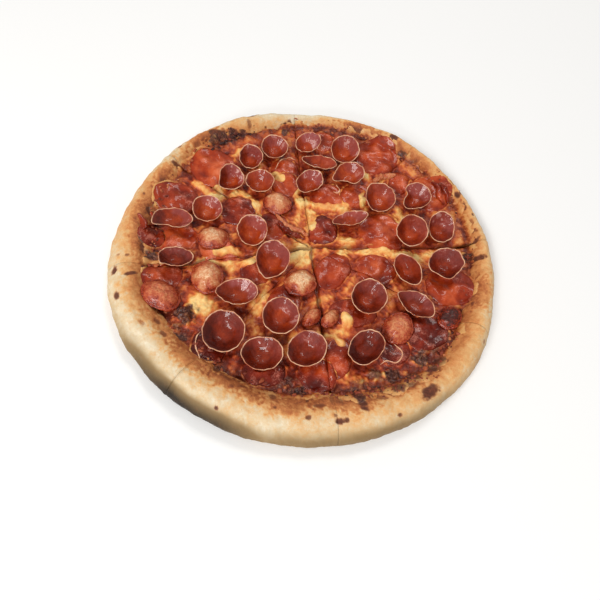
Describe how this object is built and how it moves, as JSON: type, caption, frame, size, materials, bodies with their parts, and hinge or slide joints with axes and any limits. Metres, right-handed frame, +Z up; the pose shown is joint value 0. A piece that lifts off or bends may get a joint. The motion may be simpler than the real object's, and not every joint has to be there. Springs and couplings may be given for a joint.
{
  "type": "pepperoni pizza",
  "caption": "Whole round pizza with a raised browned rim, cut into slices that lie together, under melted cheese and cupped pepperoni.",
  "frame": {"origin": "the middle of the underside, on the surface that the pizza lies on", "axes": "+Z up, -Y towards the side nearest the viewer, +X to the viewer's right"},
  "size_m": [0.3516, 0.3532, 0.0301],
  "materials": {
    "crust": "baked dough, dry and matt, cream to golden with brown and black blisters",
    "cheese": "melted cheese and sauce, greasy, cream and orange with browned spots",
    "pepperoni": "greasy cured sausage, dark red, with a thin pale rim",
    "browned_pepperoni": "browned back of a curled slice, reddish brown and coarse, satin"
  },
  "bodies": {
    "root": {"crust_1": "crust", "crust_2": "crust", "crust_3": "crust", "crust_4": "crust", "crust_5": "crust", "crust_6": "crust", "crust_7": "crust", "crust_8": "crust", "cheese_1": "cheese", "cheese_2": "cheese", "cheese_3": "cheese", "cheese_4": "cheese", "cheese_5": "cheese", "cheese_6": "cheese", "cheese_7": "cheese", "cheese_8": "cheese", "pepperoni_flat_01": "pepperoni", "pepperoni_flat_02": "pepperoni", "pepperoni_flat_03": "pepperoni", "pepperoni_flat_04": "pepperoni", "pepperoni_flat_05": "pepperoni", "pepperoni_flat_06": "pepperoni", "pepperoni_dome_01": "browned_pepperoni", "pepperoni_dome_02": "browned_pepperoni", "pepperoni_dome_03": "browned_pepperoni", "pepperoni_dome_04": "browned_pepperoni", "pepperoni_dome_05": "browned_pepperoni", "pepperoni_dome_06": "browned_pepperoni", "pepperoni_dome_07": "browned_pepperoni", "pepperoni_dome_08": "browned_pepperoni", "pepperoni_dome_09": "browned_pepperoni", "pepperoni_cup_01": "pepperoni", "pepperoni_cup_02": "pepperoni", "pepperoni_cup_03": "pepperoni", "pepperoni_cup_04": "pepperoni", "pepperoni_cup_05": "pepperoni", "pepperoni_cup_06": "pepperoni", "pepperoni_cup_07": "pepperoni", "pepperoni_cup_08": "pepperoni", "pepperoni_cup_09": "pepperoni", "pepperoni_cup_10": "pepperoni", "pepperoni_cup_11": "pepperoni", "pepperoni_cup_12": "pepperoni", "pepperoni_cup_13": "pepperoni", "pepperoni_cup_14": "pepperoni", "pepperoni_cup_15": "pepperoni", "pepperoni_cup_16": "pepperoni", "pepperoni_cup_17": "pepperoni", "pepperoni_cup_18": "pepperoni", "pepperoni_cup_19": "pepperoni", "pepperoni_cup_20": "pepperoni", "pepperoni_cup_21": "pepperoni", "pepperoni_cup_22": "pepperoni", "pepperoni_cup_23": "pepperoni", "pepperoni_cup_24": "pepperoni", "pepperoni_cup_25": "pepperoni", "pepperoni_cup_26": "pepperoni", "pepperoni_cup_27": "pepperoni", "pepperoni_cup_28": "pepperoni", "pepperoni_cup_29": "pepperoni"}
  },
  "joints": []
}
